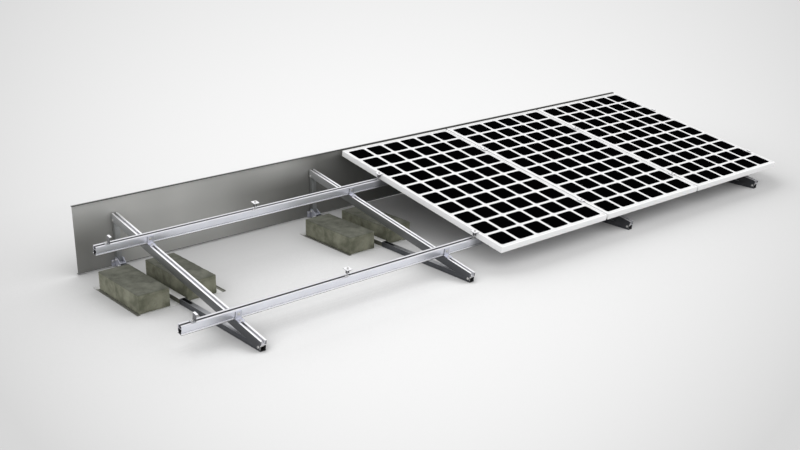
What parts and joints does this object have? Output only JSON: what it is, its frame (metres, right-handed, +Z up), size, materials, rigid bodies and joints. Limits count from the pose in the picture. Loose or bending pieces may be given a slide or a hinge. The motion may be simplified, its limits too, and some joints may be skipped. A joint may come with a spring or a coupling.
{
  "type": "solar ballast mount",
  "caption": "Ballasted flat-roof solar mount: sloping support triangles held by concrete blocks, two purlins, clamped modules with bare places, and a rear wind sheet.",
  "frame": {"origin": "middle of the footprint, on the roof", "axes": "+X along the row to the right seen from its low side, +Y level towards the high side, +Z up"},
  "size_m": [5.208, 1.674, 0.4467],
  "materials": {
    "mill_aluminium": "satin",
    "rail_aluminium": "satin",
    "strut_aluminium": "satin",
    "clamp_aluminium": "satin",
    "coated_sheet": "satin",
    "cast_concrete": "matte",
    "frame_finish": "satin",
    "module_face": "gloss",
    "box_plastic": "matte"
  },
  "bodies": {
    "root": {"top_rail_1": "rail_aluminium", "base_rail_1": "strut_aluminium", "rear_post_1": "strut_aluminium", "foot_bracket_1": "clamp_aluminium", "ballast_tray_1": "coated_sheet", "ballast_block_1_left": "cast_concrete", "ballast_block_1_right": "cast_concrete", "cross_bracket_front_1": "clamp_aluminium", "cross_bracket_rear_1": "clamp_aluminium", "top_rail_2": "rail_aluminium", "base_rail_2": "strut_aluminium", "rear_post_2": "strut_aluminium", "foot_bracket_2": "clamp_aluminium", "ballast_tray_2": "coated_sheet", "ballast_block_2_left": "cast_concrete", "ballast_block_2_right": "cast_concrete", "cross_bracket_front_2": "clamp_aluminium", "cross_bracket_rear_2": "clamp_aluminium", "top_rail_3": "rail_aluminium", "base_rail_3": "strut_aluminium", "rear_post_3": "strut_aluminium", "foot_bracket_3": "clamp_aluminium", "ballast_tray_3": "coated_sheet", "ballast_block_3_left": "cast_concrete", "ballast_block_3_right": "cast_concrete", "cross_bracket_front_3": "clamp_aluminium", "cross_bracket_rear_3": "clamp_aluminium", "top_rail_4": "rail_aluminium", "base_rail_4": "strut_aluminium", "rear_post_4": "strut_aluminium", "foot_bracket_4": "clamp_aluminium", "ballast_tray_4": "coated_sheet", "ballast_block_4_left": "cast_concrete", "ballast_block_4_right": "cast_concrete", "cross_bracket_front_4": "clamp_aluminium", "cross_bracket_rear_4": "clamp_aluminium", "front_purlin": "mill_aluminium", "rear_purlin": "mill_aluminium", "mid_clamp_front_1": "clamp_aluminium", "mid_clamp_front_2": "clamp_aluminium", "mid_clamp_front_3": "clamp_aluminium", "mid_clamp_front_4": "clamp_aluminium", "end_clamp_front_left": "clamp_aluminium", "end_clamp_front_right": "clamp_aluminium", "mid_clamp_rear_1": "clamp_aluminium", "mid_clamp_rear_2": "clamp_aluminium", "mid_clamp_rear_3": "clamp_aluminium", "mid_clamp_rear_4": "clamp_aluminium", "end_clamp_rear_left": "clamp_aluminium", "end_clamp_rear_right": "clamp_aluminium", "module_frame_1": "frame_finish", "module_laminate_1": "module_face", "junction_box_1": "box_plastic", "module_frame_2": "frame_finish", "module_laminate_2": "module_face", "junction_box_2": "box_plastic", "module_frame_3": "frame_finish", "module_laminate_3": "module_face", "junction_box_3": "box_plastic", "wind_deflector": "coated_sheet"}
  },
  "joints": []
}
